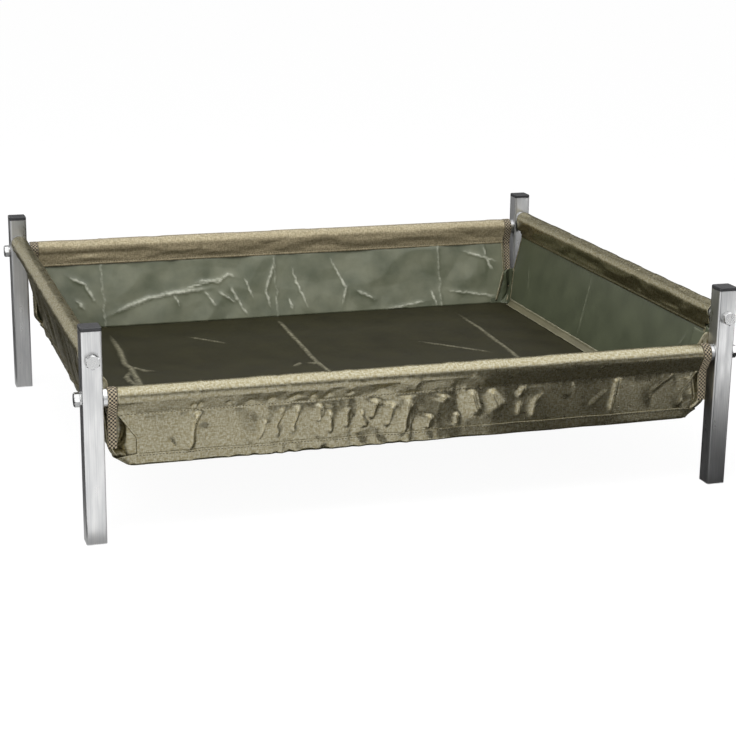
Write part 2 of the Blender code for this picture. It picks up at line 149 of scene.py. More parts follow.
def mixed(factor, low, high):
    """A colour between two, by a factor. Each of the two is a hex value or a socket."""
    low, high = (hex_colour(colour) if isinstance(colour, str) else colour for colour in (low, high))
    return node(factor.id_data, "ShaderNodeMix", {0: factor, 6: low, 7: high}, data_type="RGBA").outputs[2]


def ranged(value, low, high, to_low=0.0, to_high=1.0):
    """A value moved from one range to another and kept inside it."""
    inputs = {"Value": value, "From Min": low, "From Max": high, "To Min": to_low, "To Max": to_high}
    return node(value.id_data, "ShaderNodeMapRange", inputs).outputs[0]


def patterned(place, sizes, detail=2.0):
    """Noise on a place, with its size in mm or its three sizes along the axes."""
    scale = [1 / (size * MM) for size in (sizes if isinstance(sizes, tuple) else [sizes] * 3)]
    spread = node(place.id_data, "ShaderNodeMapping", {"Vector": place, "Scale": scale}).outputs[0]
    inputs = {"Vector": spread, "Scale": 1.0, "Detail": detail}
    return node(place.id_data, "ShaderNodeTexNoise", inputs).outputs[0]


def combined(first, second, operation="ADD"):
    """Two values put together by a Math node."""
    return node(first.id_data, "ShaderNodeMath", {0: first, 1: second}, operation=operation).outputs[0]


def finish(shader, colour, roughness, height, strength, depth):
    """Links colour, roughness and bump to a Principled shader.

    Roughness is a noise with the values it stands for at its low and its high end. Depth is in mm.
    """
    tree = shader.id_data
    noise, low, high = roughness
    bump = node(tree, "ShaderNodeBump", {"Strength": strength, "Distance": depth * MM, "Height": height})
    tree.links.new(colour, shader.inputs["Base Color"])
    tree.links.new(ranged(noise, 0.3, 0.7, low, high), shader.inputs["Roughness"])
    tree.links.new(bump.outputs[0], shader.inputs["Normal"])


# Materials


def zinc_tube(name, axis):
    """Cold-drawn steel tube, zinc plated: a bright grey metal with fine streaks along its length."""
    material, shader, place = new_material(name, Metallic=1.0)

    def drawn(width, length, detail):
        return patterned(place, tuple(length if letter == axis else width for letter in "XYZ"), detail)

    streaks, clouds = drawn(1.4, 90, 3.0), drawn(11, 55, 5.0)
    both = combined(streaks, clouds)
    colour = mixed(ranged(both, 0.75, 1.3), "#cfd0d1", "#e9e9e8")
    finish(shader, colour, (clouds, 0.4, 0.26), both, 0.4, 0.05)
    return material


def grained(name, size, detail, colours, roughness, strength, depth, **values):
    """A material whose colour, roughness and bump all follow one fine grain."""
    material, shader, place = new_material(name, **values)
    grain = patterned(place, size, detail)
    finish(shader, mixed(grain, *colours), (grain, *roughness), grain, strength, depth)
    return material


def zinc_fastener():
    """Zinc-plated bolt steel, barrel plated: brighter than the tube, with small pits and no direction."""
    return grained("zinc_plated_fastener_steel", 2.2, 4.0, ("#b4b5b7", "#e4e4e2"), (0.2, 0.34), 0.12, 0.08,
                   Metallic=1.0)


def cap_plastic():
    """Injection-moulded polyethylene: black, with a fine spark-eroded grain that greys its highlights."""
    return grained("black_moulded_polyethylene", 0.9, 2.0, ("#1c1c1e", "#323234"), (0.4, 0.6), 0.6, 0.1,
                   IOR=1.5)


def sewing_thread():
    """Spun polyester thread: a matt dark olive with a faint twist."""
    return grained("dark_olive_polyester_thread", 0.8, 2.0, ("#1e1b13", "#3e3929"), (0.6, 0.8), 0.5, 0.1,
                   IOR=1.5)


def weave(place, pitch):
    """A plain weave with its threads pitch mm apart: across and up, each a bit uneven."""
    across = patterned(place, (pitch * 2.4, pitch, pitch), 1.0)
    upwards = patterned(place, (pitch, pitch * 2.4, pitch), 1.0)
    return combined(across, upwards)


def worn(place):
    """How sharply the cloth has been creased at each point; on the seam tape's edges it carries a painted
    highlight.
    """
    return node(place.id_data, "ShaderNodeAttribute", attribute_name="wear").outputs["Fac"]


def woven_cloth(name, dark, light, gloss):
    """Polyester canvas, woven side: dark olive threads with a hard satin finish that mirrors what is near.

    The real threads are 0.5 mm apart. They are drawn coarser, so that they show in a picture of the bed.
    """
    material, shader, place = new_material(name, on_cloth=True, IOR=gloss)
    shader.inputs["Specular IOR Level"].default_value = 1.0
    threads = weave(place, WEAVE_PITCH)
    slubs = patterned(place, 9, 4.0)
    colour = mixed(ranged(threads, 0.85, 1.2), dark, light)
    colour = mixed(ranged(slubs, 0.35, 0.75, 0.0, 0.35), colour, "#2e2b1a")
    colour = mixed(ranged(worn(place), 0.3, 1.0, 0.0, 0.45), colour, "#8f866a")
    glint = mixed(ranged(threads, 0.8, 1.25), "#d6c99f", "#fffae0")
    shader.id_data.links.new(glint, shader.inputs["Specular Tint"])
    finish(shader, colour, (slubs, 0.26, 0.36), threads, 0.4, 0.25)
    return material


def coated_cloth(name, dark, light, roughness, crease, gloss=1.5):
    """The same cloth's polyurethane-coated side: a smooth satin skin, whitened where it was creased."""
    material, shader, place = new_material(name, on_cloth=True, IOR=gloss)
    cloud = patterned(place, 45, 5.0)
    scuff = patterned(place, 7, 3.0)
    broken = combined(worn(place), ranged(scuff, 0.3, 0.65, 0.35, 1.0), "MULTIPLY")
    colour = mixed(ranged(cloud, 0.3, 0.7), dark, light)
    colour = mixed(ranged(broken, 0.15, 0.9, 0.0, 0.75), colour, crease)
    rough = (cloud, roughness - 0.05, roughness + 0.05)
    finish(shader, colour, rough, weave(place, 1.3), 0.15, 0.2)
    return material


def strap_webbing():
    """Polypropylene webbing: thick, dull yarns with dark gaps, drawn coarser than real so that they show."""
    material, shader, place = new_material("olive_polypropylene_webbing", on_cloth=True, IOR=1.5)
    checks = {"Vector": place, "Scale": 1 / (WEBBING_PITCH * MM)}
    squares = node(place.id_data, "ShaderNodeTexChecker", checks).outputs["Fac"]
    fray = patterned(place, 1.6)
    both = combined(squares, fray, "MULTIPLY")
    colour = mixed(ranged(both, 0.05, 0.5), "#1c1813", "#9c8f76")
    finish(shader, colour, (fray, 0.6, 0.8), both, 0.8, 0.5)
    return material


# Relief of the cloth


def smooth(value):
    """An S-curve from 0 to 1."""
    value = np.clip(value, 0, 1)
    return value * value * (3 - 2 * value)


def bell(offset, width):
    """1 at no offset, falling off smoothly over the width to both sides."""
    return np.exp(-(offset / width) ** 2)


def near_path(across, up, path):
    """Signed distance from a path of (across, up) points in mm, and the share of the path passed there."""
    path = np.array(path, float) * MM
    lengths = np.linalg.norm(np.diff(path, axis=0), axis=1)
    nearest = np.full(across.shape, 1e9)
    progress = np.zeros(across.shape)
    before = 0.0
    for start, end, length in zip(path, path[1:], lengths):
        way = (end - start) / length
        x, y = across - start[0], up - start[1]
        along = np.clip(x * way[0] + y * way[1], 0, length)
        off = np.hypot(x - along * way[0], y - along * way[1])
        side = np.sign(way[0] * y - way[1] * x)
        closer = off < np.abs(nearest)
        nearest = np.where(closer, off * np.where(side == 0, 1, side), nearest)
        progress = np.where(closer, (before + along) / lengths.sum(), progress)
        before += length
    return nearest, progress


def creased(across, up, wrinkles, steep=1.0, gentle=1.0, blunt=1.6, least=0.15, worn_width=1.6):
    """Height and wear of raised lines, each given as a height, a width and the points of its path, in mm.

    Seen along its path, a crease falls off over steep times its width on its left-hand side and gentle times
    its width on the other. Its ridge is sharp where blunt is near 1, its ends keep the least share of its
    height, and it is worn for worn_width mm to each side.
    """
    raised = np.zeros(across.shape)
    wear = np.zeros(across.shape)
    for height, width, *path in wrinkles:
        off, progress = near_path(across, up, path)
        fade = least + (1 - least) * smooth(progress / 0.3) * smooth((1 - progress) / 0.3)
        width = width * MM * np.where(off > 0, steep, gentle)
        raised += height * MM * fade * np.exp(-(np.abs(off) / width) ** blunt)
        spread = (worn_width + 0.8 * max(0.0, height - 1)) * MM
        wear = np.maximum(wear, fade * min(1.0, height) * bell(off, spread))
    return raised, wear


def folded(across, places, width, wander):
    """Sharp folds across the whole cloth: 1 along each, falling off to both sides."""
    return sum(np.exp(-np.abs(across - place - wander) / (width * MM)) for place in places)


def scattered(i, j, seed):
    """A fixed number from 0 to 1 for each cell of a grid, without a pattern."""
    number = (i.astype(np.int64) * 374761393 + j.astype(np.int64) * 668265263 + seed * 69069) & 0xFFFFFFFF
    number = ((number ^ (number >> 13)) * 1274126177) & 0xFFFFFFFF
    return ((number ^ (number >> 16)) & 0xFFFFFF) / 0x1000000


def swelled(across, up, size, seed, stretch=1.0):
    """Soft unevenness from about -1 to 1."""
    x, y = across / size, up / (size * stretch)
    i, j = np.floor(x), np.floor(y)
    x, y = x - i, y - j
    height = np.zeros(x.shape)
    for right in (0, 1):
        for above in (0, 1):
            angle = scattered(i + right, j + above, seed) * 2 * math.pi
            slope = np.cos(angle) * (x - right) + np.sin(angle) * (y - above)
            height += slope * smooth(x if right else 1 - x) * smooth(y if above else 1 - y)
    return 1.6 * height


def faceted(across, up, size, seed, stretch=1.0):
    """Flat facets that meet in sharp ridges, from -1 to 1."""
    tall = size * stretch
    x = across / size + 0.45 * swelled(across, up, size * 1.6, seed + 1, stretch) + 0.4 * up / tall
    y = up / tall + 0.45 * swelled(across, up, size * 1.6, seed + 2, stretch)
    i, j = np.floor(x), np.floor(y)
    x, y = x - i, y - j
    low, right = scattered(i, j, seed), scattered(i + 1, j, seed)
    above, far = scattered(i, j + 1, seed), scattered(i + 1, j + 1, seed)
    lower_half = low + (right - low) * x + (far - right) * y
    upper_half = low + (far - above) * x + (above - low) * y
    return 2 * np.where(x > y, lower_half, upper_half) - 1


# Creases that show: height, width, and a path of (along, up from the wall's foot), in mm
FRONT_CREASES = [
    (3.2, 4.0, (-278, 64), (-291, 48), (-294, 24), (-301, 4)),
    (1.1, 4.0, (-273, 46), (-278, 34), (-285, 12)), (0.9, 2.2, (-321, 30), (-312, 14)),
    (1.8, 3.0, (-200, 46), (-206, 30), (-213, 15)), (2.2, 3.2, (-175, 60), (-189, 36), (-185, 15)),
    (2.2, 3.2, (-158, 60), (-168, 33), (-165, 18)), (2.0, 3.0, (-132, 60), (-135, 32)),
    (2.2, 3.0, (-121, 52), (-120, 16)), (1.5, 3.2, (-98, 53), (-100, 22)), (2.6, 3.8, (-83, 47), (-72, 21)),
    (2.5, 4.2, (-57, 62), (-69, 30)), (2.6, 5.5, (-38, 55), (-48, 18)),
    (2.8, 4.5, (-16, 62), (-22, 34), (-26, 3)), (1.9, 4.0, (12, 34), (5, 13)),
    (1.6, 3.0, (31, 56), (29, 48)), (1.6, 2.6, (47, 33), (47, 14)),
    (3.0, 4.6, (62, 66), (69, 44), (77, 23)), (2.2, 4.6, (90, 62), (97, 46), (106, 29)),
    (1.4, 2.2, (137, 63), (130, 45)), (1.2, 2.2, (133, 42), (130, 19)),
    (1.5, 2.1, (162, 52), (152, 39), (148, 13)), (0.7, 2.4, (205, 62), (196, 38)),
    (0.8, 1.9, (254, 50), (236, 32), (222, 22)), (1.7, 1.9, (277, 76), (266, 60), (261, 34), (255, 2)),
    (1.1, 2.4, (356, 66), (330, 50), (314, 38), (313, 14)), (1.5, 2.6, (384, 48), (366, 28), (348, 14)),
]
FRONT_DENTS = [
    (-1.2, 2.2, (-252, 69), (-244, 72)), (-1.6, 2.4, (-226, 69), (-216, 71)),
    (-2.4, 3.0, (-200, 68), (-190, 73)), (-2.6, 3.0, (-176, 66), (-164, 74), (-156, 75)),
    (-2.6, 3.0, (-146, 66), (-139, 76)), (-2.4, 3.0, (-128, 66), (-119, 76)),
    (-2.2, 2.0, (-294, 66), (-289, 76)), (-2.2, 2.0, (-286, 66), (-281, 76)),
    (-2.0, 3.0, (-99, 68), (-92, 77)), (-2.2, 3.4, (-60, 66), (-50, 76)),
]
BACK_CREASES = [
    (2.6, 2.4, (-289, 14), (-255, 28), (-215, 41), (-175, 47), (-110, 51)),
    (1.0, 3.0, (-180, 48), (-174, 38), (-168, 24)), (1.4, 3.4, (-128, 50), (-120, 36), (-110, 20)),
    (1.4, 2.2, (-150, 60), (-128, 64), (-104, 60), (-88, 72), (-70, 64)),
    (1.4, 2.6, (-89, 58), (-72, 26), (-57, 0)), (1.3, 2.4, (-63, 67), (-48, 28)),
    (1.5, 2.6, (-7, 98), (-28, 43), (-19, 7)), (1.4, 2.4, (15, 81), (24, 51), (42, 4)),
    (1.2, 2.2, (9, 30), (14, 8)), (1.6, 2.8, (79, 95), (105, 39), (96, 4)),
    (1.3, 2.4, (120, 35), (158, 16)), (1.6, 2.4, (249, 29), (260, 0)), (1.1, 2.2, (247, 11), (160, -1)),
    (1.2, 2.4, (273, 26), (374, 10)), (1.2, 2.4, (-166, 51), (-93, 67)), (1.3, 2.4, (-110, 48), (-75, 25)),
    (1.8, 3.0, (-343, 83), (-314, 67), (-298, 35)), (1.5, 2.6, (-331, 45), (-317, 28)),
    (1.3, 2.6, (305, 90), (375, 67)), (1.6, 2.6, (345, 96), (352, 70), (362, 50)),
]
LEFT_CREASES = [
    (1.4, 4.0, (-250, 30), (-238, 70), (-244, 104)), (1.4, 4.5, (-150, 20), (-139, 62), (-146, 98)),
    (1.2, 4.0, (-60, 14), (-52, 70)), (1.2, 4.5, (110, 24), (121, 80)),
    (1.6, 4.5, (214, 18), (226, 66), (220, 100)),
]
RIGHT_CREASES = [
    (1.2, 1.8, (FOLD_Y / MM, -2), (FOLD_Y / MM, 118)), (0.9, 3.0, (-276, 96), (-256, 64)),
    (0.8, 3.0, (240, 30), (262, 74)),
]
# The same on the floor, with paths of (x, y)
FLOOR_CREASES = [
    (1.8, 3.4, (-14, 440), (-17, 297), (-18, 181), (-21, 62), (-14, -60), (-6, -180), (-10, -330)),
    (3.0, 4.5, (-289, 440), (-289, 180), (-295, 101), (-291, 68), (-294, -60), (-286, -200), (-288, -330)),
    (2.2, 4.0, (-294, 88), (-272, 62), (-255, 60)), (2.4, 4.0, (-293, 66), (-306, 30), (-298, -30)),
    (1.4, 3.4, (275, 400), (277, 167), (270, -15), (276, -190), (270, -330)),
    (1.2, 5.0, (151, 136), (252, 19)), (2.0, 2.4, (-38, 56), (-16, 44)), (1.4, 2.4, (-60, 40), (-44, 58)),
    (1.0, 5.0, (-180, 240), (-120, 180)),
]


def front_relief(along, reach, web):
    """Many creases with one steep side, a dented sleeve, and a foot that puckers on the left."""
    wander = 0.004 * swelled(reach, along * 0, 0.016, 3) - (web - reach) * 0.12
    ragged = 0.5 * MM * swelled(along, reach, 0.009, 47)
    raised, wear = creased(along + ragged, reach, FRONT_CREASES, 0.9, 2.4, 1.15, 0.0)
    raised *= 2.3
    raised += creased(along, reach, FRONT_DENTS)[0]
    puckered = np.exp(-((along + 0.13) / 0.13) ** 4) * bell(reach, HEM_HEIGHT)
    raised += 3.2 * MM * puckered * faceted(along, reach, 0.009, 33, 1.6)
    middle = np.exp(-((along + 0.055) / 0.16) ** 4)
    raised += 1.5 * MM * folded(along, FOLDS_X[:2], 3.5, wander)
    raised += 2.6 * MM * middle * faceted(along, reach, 0.019, 2, 2.4)
    raised += 1.1 * MM * faceted(along, reach, 0.045, 21, 1.3)
    raised += 0.9 * MM * swelled(along, reach, 0.06, 4)
    return raised, wear * 0.3


def back_relief(along, reach, web):
    """Long whitened creases, large facets, and a slack sleeve."""
    along = -along
    above = smooth((reach - web + 0.002) / 0.006)
    ragged = 1.4 * MM * swelled(along, reach, 0.007, 43)
    raised, wear = creased(along + ragged, reach + ragged, BACK_CREASES)
    folds = folded(along, FOLDS_X, 2.0, 0.003 * swelled(reach, along * 0, 0.016, 13))
    raised += 1.3 * MM * folds
    raised += 1.9 * MM * faceted(along, reach, 0.042, 5)
    raised += 0.7 * MM * faceted(along, reach, 0.017, 15, 1.4)
    raised += 1.2 * MM * swelled(along, reach, 0.06, 6)
    raised += 4.5 * MM * above * faceted(along, reach, 0.05, 51, 0.25)
    return raised, np.maximum(wear, 0.6 * folds)


def left_relief(along, reach, web):
    raised, wear = creased(along, reach, LEFT_CREASES, 0.7, 1.4)
    raised += 1.6 * MM * faceted(along, reach, 0.018, 22, 4.0)
    raised += 0.8 * MM * swelled(along, reach, 0.07, 8)
    return raised, wear * 0.3


def right_relief(along, reach, web):
    """Smooth, with one packing fold and a slack sleeve."""
    raised, wear = creased(along, reach, RIGHT_CREASES)
    above = smooth((reach - web + 0.006) / 0.012)
    raised += 0.5 * MM * swelled(along, reach, 0.09, 9)
    raised += 4 * MM * above * faceted(along, reach, 0.04, 19, 0.4)
    return raised, wear * 0.7


class Wall:
    """A wall of the tray with the sleeve at its top, as a surface round its rail.

    Places on it are given along the rail and up the cloth from its foot. Relief is raised towards the face
    that shows: outwards on the front and left walls, inwards on the back and right ones.
    """

    def __init__(self, side, turn, shows, relief, seed):
        self.name = "wall_" + side
        self.rail = "rail_" + side
        low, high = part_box(self.rail)
        foot_low, foot_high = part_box(self.name)
        centre = (low + high) / 2
        self.cross = side in DEPTHS
        self.leg_face = LEG_X if self.cross else LEG_Y
        self.sleeve_end = foot_high.x if self.cross else foot_high.y
        inner = {"front": foot_high.y, "back": foot_low.y, "left": foot_high.x, "right": foot_low.x}[side]
        lean = abs(centre.y - inner if self.cross else centre.x - inner) - SOLID_CLOTH / 2
        self.lean = 0.0 if side == "front" else lean
        self.axis = abs(centre.y if self.cross else centre.x)
        self.rail_z = centre.z
        self.drop = centre.z - WALL_FOOT_Z
        self.web = math.hypot(self.drop, self.lean) - STITCH_DROP
        self.matrix = np.array(Matrix.Translation(centre) @ Matrix.Rotation(math.radians(turn), 4, "Z"))
        self.line, self.places = resampled(wall_line(self.drop, self.lean), MM)
        self.total = self.places[-1]
        self.outward = square_to(self.line)
        self.slant = (0.52, 1.0) if side == "front" else (0.05, 0.5)
        self.foot_inset = FOOT_INSET + (5 * MM if side == "front" else 0)
        self.shows = shows
        self.relief = relief
        self.seed = seed

    def half_length(self, reach):
        """From the middle to the wall's end: the sleeve's full length round the rail, cut back below it."""
        low, high = self.slant
        rising = np.clip((reach / self.web - low) / (high - low), 0, 1)
        web = self.leg_face - self.foot_inset + (self.foot_inset - WEB_INSET) * rising
        flap = self.leg_face - WEB_INSET
        half = np.where(reach <= self.web, web, self.sleeve_end)
        return np.where(reach > self.total - SLEEVE_HEM - STITCH_DROP / 4, flap, half)

    def raised(self, along, reach):
        """Height of the relief along the outward normal, and the wear."""
        height, wear = self.relief(along, reach, self.web)
        past = reach - self.web
        round_rail = smooth(past / 0.006)
        taut = 1 - 0.9 * bell(past, 0.004)
        flat = math.sqrt(STITCH_DROP ** 2 - SLEEVE_RADIUS ** 2)
        behind = self.total - SLEEVE_HEM - reach
        slack = np.sin(np.clip(np.minimum(past, behind) / flat, 0, 1) * math.pi)
        room = 2.2 * MM * slack
        on_sleeve = np.clip(0.75 * height, -0.12 * MM - room, 0.5 * MM + room)
        on_web = self.shows * height
        beside_corner = np.abs(along) > self.leg_face - CORNER_LAP - 0.004
        on_web = np.where(beside_corner, np.maximum(on_web, -0.4 * MM), on_web)
        height = (on_web * (1 - round_rail) + on_sleeve * round_rail) * taut
        flap = smooth((reach - self.total + 0.012) / 0.006)
        height = height * (1 - flap)
        from_seam = np.minimum(np.abs(past), np.abs(behind))
        ripple = swelled(along, reach * 0, 0.006, self.seed)
        ripple = ripple + 0.7 * swelled(along, reach * 0, 0.014, self.seed + 5)
        height = height + 0.5 * MM * ripple * np.exp(-from_seam / 0.006) * (1 - 0.6 * flap)
        return height, wear * (1 - 0.5 * round_rail)

    def at(self, along, reach, lift=0.0):
        """World points on the cloth, lifted off its middle line towards its outside."""
        inside = np.clip(reach, 0, self.total)
        columns = np.hstack([self.line, self.outward]).T
        out, up, out_x, out_z = (np.interp(inside, self.places, column) for column in columns)
        height = self.raised(along, inside)[0] + lift
        below = np.minimum(reach, 0)
        local = [out + out_x * height, along, up + out_z * height + below, np.ones_like(out)]
        return (np.stack(local, axis=-1) @ self.matrix.T)[..., :3]

    def inside(self, height, out=-SOLID_CLOTH):
        """How far from the middle the wall stands at a height, moved out by a bit."""
        return self.axis - (self.rail_z - height) * (self.lean / self.drop) + out

    def inwards(self):
        """Level direction into the tray, as x and y."""
        return -np.sign(self.matrix[:2, 3]) * (np.array([0, 1]) if self.cross else np.array([1, 0]))


def walked(points):
    """Distance along a line of points, at each of them."""
    return np.concatenate([[0], np.cumsum(np.linalg.norm(np.diff(points, axis=0), axis=1))])


def square_to(line):
    """Unit directions square to a line of points, to its right, which is out of the tray."""
    tangent = np.gradient(line, axis=0)
    tangent /= np.linalg.norm(tangent, axis=1)[:, None]
    return np.stack([tangent[:, 1], -tangent[:, 0]], axis=1)


def resampled(points, spacing):
    """A line through points, cut into equal steps no longer than the spacing, and each step's place on it."""
    points = np.array(points, float)
    reach = walked(points)
    places = np.linspace(0, reach[-1], max(2, math.ceil(reach[-1] / spacing)) + 1)
    return np.stack([np.interp(places, reach, column) for column in points.T], axis=1), places


def wall_line(drop, lean):
    """Middle line of a wall's cloth as (outwards, up) from its rail's centre: up, round the rail and down."""
    down = np.array([-lean, -drop]) / math.hypot(lean, drop)
    inwards = np.array([down[1], -down[0]])
    start = -math.acos(SLEEVE_RADIUS / STITCH_DROP)
    sweep = -2 * (math.pi + start)
    points = [down * math.hypot(drop, lean), down * STITCH_DROP]
    for step in range(61):
        angle = start + sweep * step / 60
        points.append((down * math.cos(angle) + inwards * math.sin(angle)) * SLEEVE_RADIUS)
    lap = 2 * CLOTH
    points.append(down * STITCH_DROP + inwards * lap)
    points.append(down * (STITCH_DROP + SLEEVE_HEM) + inwards * lap)
    return points


WALLS = {
    "front": Wall("front", -90, 1, front_relief, 11),
    "back": Wall("back", 90, -1, back_relief, 12),
    "left": Wall("left", 180, 1, left_relief, 13),
    "right": Wall("right", 0, -1, right_relief, 14),
}
CROSS_WALLS = {FRONT: WALLS["front"], BACK: WALLS["back"]}


# Pieces of cloth


def mesh_object(name, bm, materials=()):
    """Puts a bmesh into the scene as an object at the origin."""
    mesh = bpy.data.meshes.new(name)
    bm.to_mesh(mesh)
    bm.free()
    for material in materials:
        mesh.materials.append(material)
    made = bpy.data.objects.new(name, mesh)
    bpy.context.scene.collection.objects.link(made)
    return made


def cloth_grid(name, points, flat, materials, wear=None, thickness=CLOTH, closed=False):
    """A sheet of cloth through rows of points, whose places across and up the flat cloth are in metres.

    The first material is on the side its faces point to, and the last on the other.
    """
    flat = np.stack(flat, axis=-1)
    rows, columns = points.shape[0] - 1, points.shape[1] - 1
    bm = bmesh.new()
    bmesh.ops.create_grid(bm, x_segments=columns, y_segments=rows, size=0.5)
    layer = bm.loops.layers.uv.new("cloth")
    worn_layer = bm.verts.layers.float.new("wear")
    spots = [(round((v.co.y + 0.5) * rows), round((v.co.x + 0.5) * columns)) for v in bm.verts]
    bm.verts.index_update()
    for face in bm.faces:
        face.smooth = True
        for loop in face.loops:
            loop[layer].uv = flat[spots[loop.vert.index]]
    for vert, spot in zip(bm.verts, spots):
        vert.co = points[spot]
        if wear is not None:
            vert[worn_layer] = wear[spot]
    if closed:
        bmesh.ops.remove_doubles(bm, verts=bm.verts, dist=0.00001)
    piece = mesh_object(name, bm, materials)
    solid = piece.modifiers.new("thickness", "SOLIDIFY")
    solid.thickness = thickness
    solid.offset = 0
    solid.material_offset = len(materials) - 1
    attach(piece, "root")
    return piece


def grid_of(low, high, step, rows_low, rows_high, row_step):
    """Two arrays of places, across and up, in equal steps."""
    across = np.linspace(low, high, math.ceil((high - low) / step) + 1)
    up = np.linspace(rows_low, rows_high, math.ceil((rows_high - rows_low) / row_step) + 1)
    return np.meshgrid(across, up)


def bent(height, cell):
    """Wear along the ridges of a relief, from how sharply it bends there."""
    across = np.gradient(np.gradient(height, cell, axis=1), cell, axis=1)
    up = np.gradient(np.gradient(height, cell, axis=0), cell, axis=0)
    return np.clip(np.abs(across + up) * 0.0032 - 0.12, 0, 0.8)


def add_wall(wall, cell, materials):
    share, reach = grid_of(-1, 1, cell / wall.sleeve_end, 0, wall.total, cell)
    along = share * wall.half_length(reach)
    height, wear = wall.raised(along, reach)
    wear = np.maximum(wear, bent(height, cell))
    piece = cloth_grid(wall.name + "_cloth", wall.at(along, reach), (along, reach), materials, wear)
    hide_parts(wall.name)


def add_floor(materials):
    """The floor: a sheet that sags between its walls, with a corner cut off at each leg."""
    low_x, high_x = (WALLS[side].at(np.array(0.0), np.array(0.0))[0] for side in SIDES)
    low_y, high_y = (WALLS[side].at(np.array(0.0), np.array(0.0))[1] for side in DEPTHS)
    x, y = grid_of(low_x, high_x, FLOOR_CELL, low_y, high_y, FLOOR_CELL)
    across, up = (x - low_x) / (high_x - low_x), (y - low_y) / (high_y - low_y)
    dip = np.sin(across * math.pi) * np.sin(up * math.pi)
    slack = smooth(dip / 0.25)
    raised, wear = creased(x, y, FLOOR_CREASES, worn_width=2.7)
    raised += 1.1 * MM * swelled(x, y, 0.09, 9)
    raised += 0.8 * MM * faceted(x, y, 0.1, 10)
    z = WALL_FOOT_Z - 0.2 * MM - 0.9 * MM * smooth(dip / 0.05) - 6 * MM * dip + slack * raised
    piece = cloth_grid("floor_cloth", np.stack([x, y, z], axis=-1), (x, y), materials, wear * slack)
    trim_corners(piece.data)
    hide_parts("floor")


def trim_corners(mesh):
    """Cuts a corner off the floor along the foot of each corner piece."""
    bm = bmesh.new()
    bm.from_mesh(mesh)
    for side in (LEFT, RIGHT):
        for depth in (FRONT, BACK):
            _, start, *_, end, _ = [Vector((side * x, depth * y, 0)) for x, y, _ in corner_rows(depth)[0]]
            outwards = (end - start).cross(Vector((0, 0, 1))).normalized()
            if outwards.x * side < 0:
                outwards = -outwards
            bmesh.ops.bisect_plane(bm, geom=bm.verts[:] + bm.edges[:] + bm.faces[:], plane_co=start,
                                   plane_no=outwards, clear_outer=True)
    bm.to_mesh(mesh)
    bm.free()


# Corner pieces


def corner_rows(depth):
    """Points of a right-hand corner piece: its foot, its full turn above that, and its top edge."""
    cross, side = CROSS_WALLS[depth], WALLS["right"]

    def lapped(row, height):
        """A rear piece's ends lie outside its walls, where they don't show from the tray."""
        if depth == FRONT:
            return row
        y, x = cross.inside(height, 1.3 * MM), side.inside(height, 1.3 * MM)
        (x0, _, z0), (x1, _, z1), *middle, (_, last_y, last_z) = row
        return [(x0, y, z0), (x1, y, z1), *middle, (x, last_y, last_z)]

    lap_x, lap_y = LEG_X - CORNER_LAP, LEG_Y - CORNER_LAP
    foot_y, foot_x = cross.inside(WALL_FOOT_Z), side.inside(WALL_FOOT_Z)
    start = np.array([LEG_X - CORNER_FOOT_BREAK, foot_y])
    end = np.array([foot_x, LEG_Y - CORNER_FOOT_BREAK])
    slanted = [tuple(start + (end - start) * i / 7) for i in range(8)]
    foot = [(lap_x, foot_y)] + slanted + [(foot_x, lap_y)]
    z = WALL_FOOT_Z + CORNER_RISE
    y, x = cross.inside(z), side.inside(z)
    out_x, out_y = LEG_X - 7.2 * MM, max(LEG_Y - 6 * MM, y)
    break_x, bend_x = LEG_X - CORNER_BREAK, LEG_X - CORNER_BEND
    turned = [(lap_x, y), (break_x, y), (bend_x, out_y), (out_x - 4.8 * MM, out_y),
              (out_x - 1.8 * MM, out_y - 1.8 * MM), (out_x, out_y - 6 * MM),
              (out_x - 2.5 * MM, out_y - 14.5 * MM), (x + 3.4 * MM, LEG_Y - 15 * MM),
              (x + 1.6 * MM, LEG_Y - 19.5 * MM), (x, lap_y)]
    low_top = WALLS["front"].rail_z - STITCH_DROP - SLEEVE_HEM - 2 * MM
    if depth == FRONT:
        flap_z = side.rail_z - STITCH_DROP - SLEEVE_HEM - 2 * MM
        x = side.inside(flap_z)
        top = [(lap_x, y, low_top), (break_x, y, low_top), (bend_x, 0.3335, 0.1764), *FRONT_CORNER_CLIMB,
               (x, FRONT_CORNER_FLAP, flap_z), (x, lap_y, flap_z)]
    else:
        y, x = cross.inside(low_top), side.inside(low_top)
        plan = [(lap_x, y), (break_x, y), (bend_x, y), (out_x - 3.8 * MM, y),
                (out_x, LEG_Y - 7 * MM), (out_x, LEG_Y - 11.5 * MM),
                (x + 1.5 * MM, LEG_Y - 16.5 * MM), (x, LEG_Y - 18.5 * MM),
                (x, LEG_Y - 25.5 * MM), (x, lap_y)]
        heights = [low_top - 6 * MM + rise * MM for rise in REAR_CORNER_RISE]
        top = lapped([(x, y, up) for (x, y), up in zip(plan, heights)], low_top)
    foot = [(x, y, WALL_FOOT_Z) for x, y in foot]
    return [foot, lapped([(x, y, z) for x, y in turned], z), top]


def eased(points, count):
    """A smooth curve through points, as that many new ones, along the first axis."""
    points = np.asarray(points, float)
    last = len(points) - 1
    places = np.linspace(0, last, count)
    i = np.clip(np.floor(places).astype(int), 0, last - 1)
    f = (places - i).reshape((-1,) + (1,) * (points.ndim - 1))
    before, here = points[np.maximum(i - 1, 0)], points[i]
    there, after = points[i + 1], points[np.minimum(i + 2, last)]
    return 0.5 * (2 * here + (there - before) * f + (2 * before - 5 * here + 4 * there - after) * f ** 2
                  + (3 * here - before - 3 * there + after) * f ** 3)


